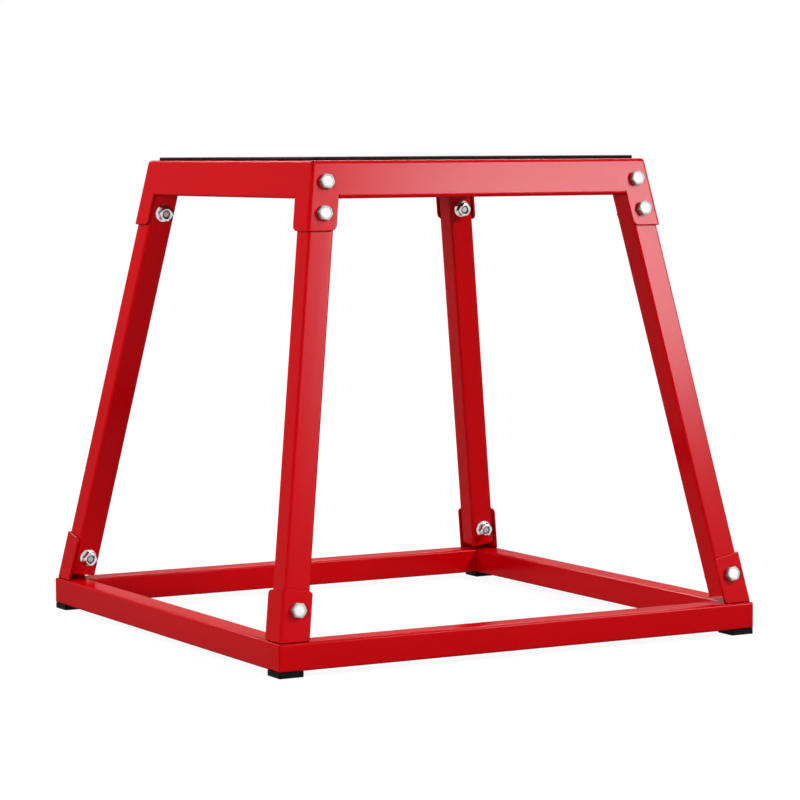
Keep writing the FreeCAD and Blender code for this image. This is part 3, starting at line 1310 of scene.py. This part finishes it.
SOFTBOXES = (
    Softbox(name="front_fill", azimuth=-45, elevation=8, distance=2.6, width=0.7, height=0.7,
            power=29, glow=Glow.LIGHT),
    Softbox(name="right_key", azimuth=40, elevation=35, distance=2.6, width=0.4, height=0.4,
            power=41, glow=Glow.LIGHT),
    Softbox(name="right_fill", azimuth=90, elevation=8, distance=2.6, width=0.7, height=0.7,
            power=24, glow=Glow.LIGHT),
    Softbox(name="left_key", azimuth=-150, elevation=35, distance=2.6, width=0.7, height=0.7,
            power=23, glow=Glow.LIGHT),
    Softbox(name="left_fill", azimuth=-100, elevation=25, distance=0.95, width=0.3, height=0.3,
            power=1.8, glow=Glow.LIGHT),
    Softbox(name="rear_fill", azimuth=180, elevation=8, distance=2.6, width=0.7, height=0.7,
            power=20, glow=Glow.LIGHT),
    Softbox(name="key_shine", azimuth=34.5, elevation=16.5, distance=4.5, width=1.10, height=0.75,
            power=140, glow=Glow.SHINE, tint=(1.0, 0.98, 1.06)),
    Softbox(name="rear_shine", azimuth=151, elevation=5, distance=4.5, width=2.25, height=0.7,
            power=24, glow=Glow.SHINE),
    Softbox(name="backdrop_shine", azimuth=155, elevation=42, distance=4.0, width=4.6, height=2.0,
            power=600, glow=Glow.SHINE),
)


@dataclass
class Studio:
    """Camera, lamps, white surroundings and floor."""

    target: tuple[float, float, float] = (0.00604, -0.00522, 0.21843)
    yaw: float = math.radians(28.9)
    pitch: float = math.radians(-4.56)
    roll: float = math.radians(-0.32)
    distance: float = 3.0586
    lens: float = 140.11
    floor_size: float = 60.0
    floor_drop: float = 0.0002
    floor_shade: float = 0.18
    floor_glow: tuple[float, float] = (0.88, 1.0)
    floor_reach: float = 2.25
    room_light: float = 0.08

    def sight(self) -> Vector:
        """Direction in which the camera looks."""
        return Vector((math.sin(self.yaw) * math.cos(self.pitch), math.cos(self.yaw) * math.cos(self.pitch),
                       math.sin(self.pitch)))

    def camera(self) -> None:
        """Set up the camera at the photograph's viewing angle."""
        data = bpy.data.cameras.new("view")
        data.lens = self.lens
        made = bpy.data.objects.new("view", data)
        look = self.sight()
        right = look.cross(AXIS_Z).normalized()
        up = right.cross(look)
        turned = Matrix((right, up, -look)).transposed().to_4x4() @ Matrix.Rotation(self.roll, 4, "Z")
        made.matrix_world = Matrix.Translation(Vector(self.target) - look * self.distance) @ turned
        bpy.context.scene.collection.objects.link(made)
        bpy.context.scene.camera = made

    def seen_directly(self, nodes: NodeTree) -> bpy.types.NodeSocket:
        """Mask that is one where the camera, a reflection or a clear piece sees the surroundings.

        Args:
            nodes: The tree that receives the nodes.

        Returns:
            The mask's socket.
        """
        path = nodes.add("ShaderNodeLightPath").outputs
        both = nodes.add("ShaderNodeMath", {0: path["Is Camera Ray"], 1: path["Is Glossy Ray"]},
                         operation="MAXIMUM")
        every = nodes.add("ShaderNodeMath", {0: both.outputs[0], 1: path["Is Transmission Ray"]},
                          operation="MAXIMUM")
        return every.outputs[0]

    def surroundings(self) -> None:
        """White surroundings that light the box softly."""
        world = bpy.data.worlds.new("white_room")
        world.use_nodes = True
        world.node_tree.nodes.clear()
        nodes = NodeTree(world.node_tree)
        strength = nodes.add("ShaderNodeMapRange", {"Value": self.seen_directly(nodes),
                                                    "To Min": self.room_light, "To Max": 1.0})
        white = nodes.add("ShaderNodeBackground", {"Color": WHITE, "Strength": strength.outputs["Result"]})
        nodes.add("ShaderNodeOutputWorld", {"Surface": white.outputs["Background"]})
        bpy.context.scene.world = world

    def floor(self) -> None:
        """White floor that keeps the box's shadow."""
        bm = bmesh.new()
        bmesh.ops.create_grid(bm, x_segments=1, y_segments=1, size=self.floor_size / 2,
                              matrix=Matrix.Translation((0, 0, -self.floor_drop)))
        made = add_object(bm, "white_floor")
        paper = bpy.data.materials.new("white_paper")
        paper.use_nodes = True
        paper.node_tree.nodes.clear()
        nodes = NodeTree(paper.node_tree)
        matte = nodes.add("ShaderNodeBsdfDiffuse", {"Color": (*[self.floor_shade] * 3, 1)})
        place = nodes.add("ShaderNodeTexCoord").outputs["Object"]
        reach = nodes.add("ShaderNodeVectorMath", {0: place}, operation="LENGTH")
        near, far = self.floor_glow
        level = nodes.add("ShaderNodeMapRange", {"Value": reach.outputs["Value"], "To Min": near,
                                                 "To Max": far, "From Max": self.floor_reach})
        glow = nodes.add("ShaderNodeMath", {0: level.outputs["Result"], 1: self.seen_directly(nodes)},
                         operation="MULTIPLY")
        shine = nodes.add("ShaderNodeEmission", {"Color": WHITE, "Strength": glow.outputs[0]})
        whole = nodes.add("ShaderNodeAddShader", {0: matte.outputs[0], 1: shine.outputs[0]})
        nodes.add("ShaderNodeOutputMaterial", {"Surface": whole.outputs[0]})
        made.data.materials.append(paper)

    def build(self) -> None:
        """Build the whole studio."""
        self.camera()
        self.surroundings()
        self.floor()
        for softbox in SOFTBOXES:
            softbox.build(Vector(self.target))
        bpy.context.scene.view_settings.view_transform = "Standard"


def main() -> None:
    """Build the box and its studio."""
    logging.basicConfig(level=logging.INFO)
    layout = Layout.read()
    TopTray(layout).build()
    AntiSlipMat().build()
    BaseFrame(layout).build()
    SplayedLegs(layout).build()
    Fasteners(layout).build()
    Studio().build()
    bpy.context.view_layer.update()


if __name__ == "__main__":
    main()
